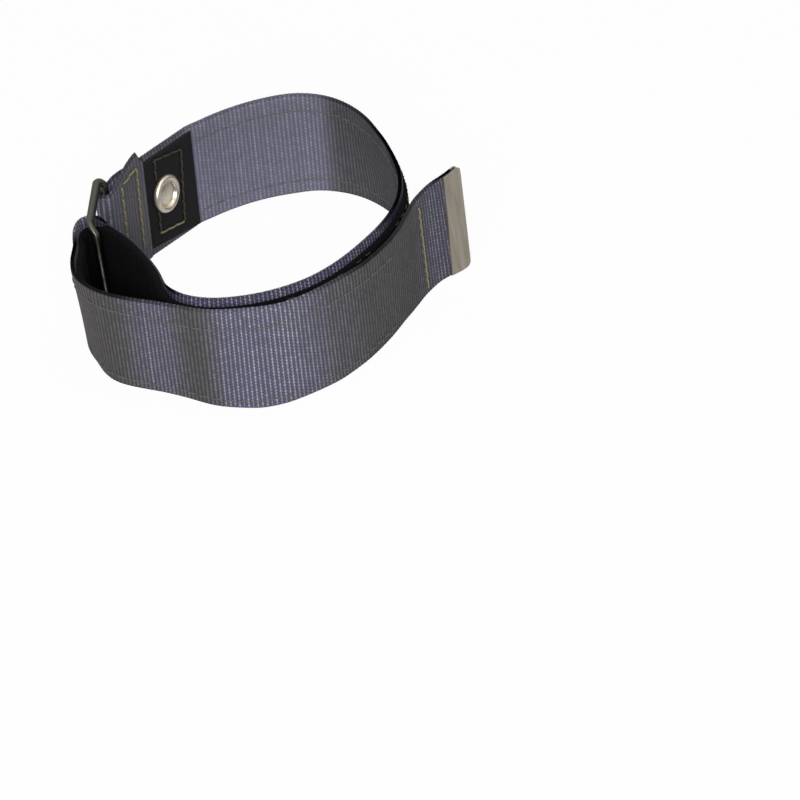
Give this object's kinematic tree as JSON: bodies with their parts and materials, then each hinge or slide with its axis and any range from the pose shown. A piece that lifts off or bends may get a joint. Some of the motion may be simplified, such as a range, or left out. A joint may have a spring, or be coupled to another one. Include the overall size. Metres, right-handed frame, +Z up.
{
  "type": "esd wrist strap",
  "caption": "Woven conductive wrist strap, passed through a wire ring and folded back on hook and loop, with a snap stud for a ground cord and a metal end clip.",
  "frame": {"origin": "middle of the strap's outline in plan, on the floor it stands on", "axes": "+Z up across the band's width, +X towards the tail, +Y from the flap towards the snap stud's side"},
  "size_m": [0.0893, 0.0858, 0.028],
  "materials": {
    "webbing": "ribbed weave with conductive yarn",
    "pile": "black loop pile",
    "hooks": "black hook tape",
    "patch": "black woven tape",
    "nickel": "bright nickel",
    "ring_wire": "plated wire",
    "clip_steel": "satin sheet",
    "thread": "sewing thread"
  },
  "bodies": {
    "loop": {"band_loop": "webbing", "pile_strip_loop": "pile", "eyelet_patch": "patch", "eyelet": "nickel", "snap_stud": "nickel", "keeper_stitching": "thread", "patch_stitching": "thread", "loop_seams": "thread"},
    "ring": {"ring": "ring_wire"},
    "flap": {"band_flap": "webbing", "pile_strip_flap": "pile", "hook_pad": "hooks", "flap_seams": "thread"},
    "tail": {"band_tail": "webbing", "hook_pad_end": "hooks", "end_clip": "clip_steel", "tail_stitching": "thread"}
  },
  "joints": [
    {"name": "ring_swing", "type": "hinge", "parent": "loop", "child": "ring", "pos_m": [-0.0358, 0.01399, 0.0125], "axis": [0, 0, 1], "range_deg": [-3, 5]},
    {"name": "flap_open", "type": "hinge", "parent": "loop", "child": "flap", "pos_m": [-0.04341, -0.00797, 0.0125], "axis": [0, 0, -1], "range_deg": [0, 70]},
    {"name": "tail_lift", "type": "hinge", "parent": "flap", "child": "tail", "pos_m": [0.02912, -0.01662, 0.0125], "axis": [0, 0, -1], "range_deg": [0, 60]}
  ]
}
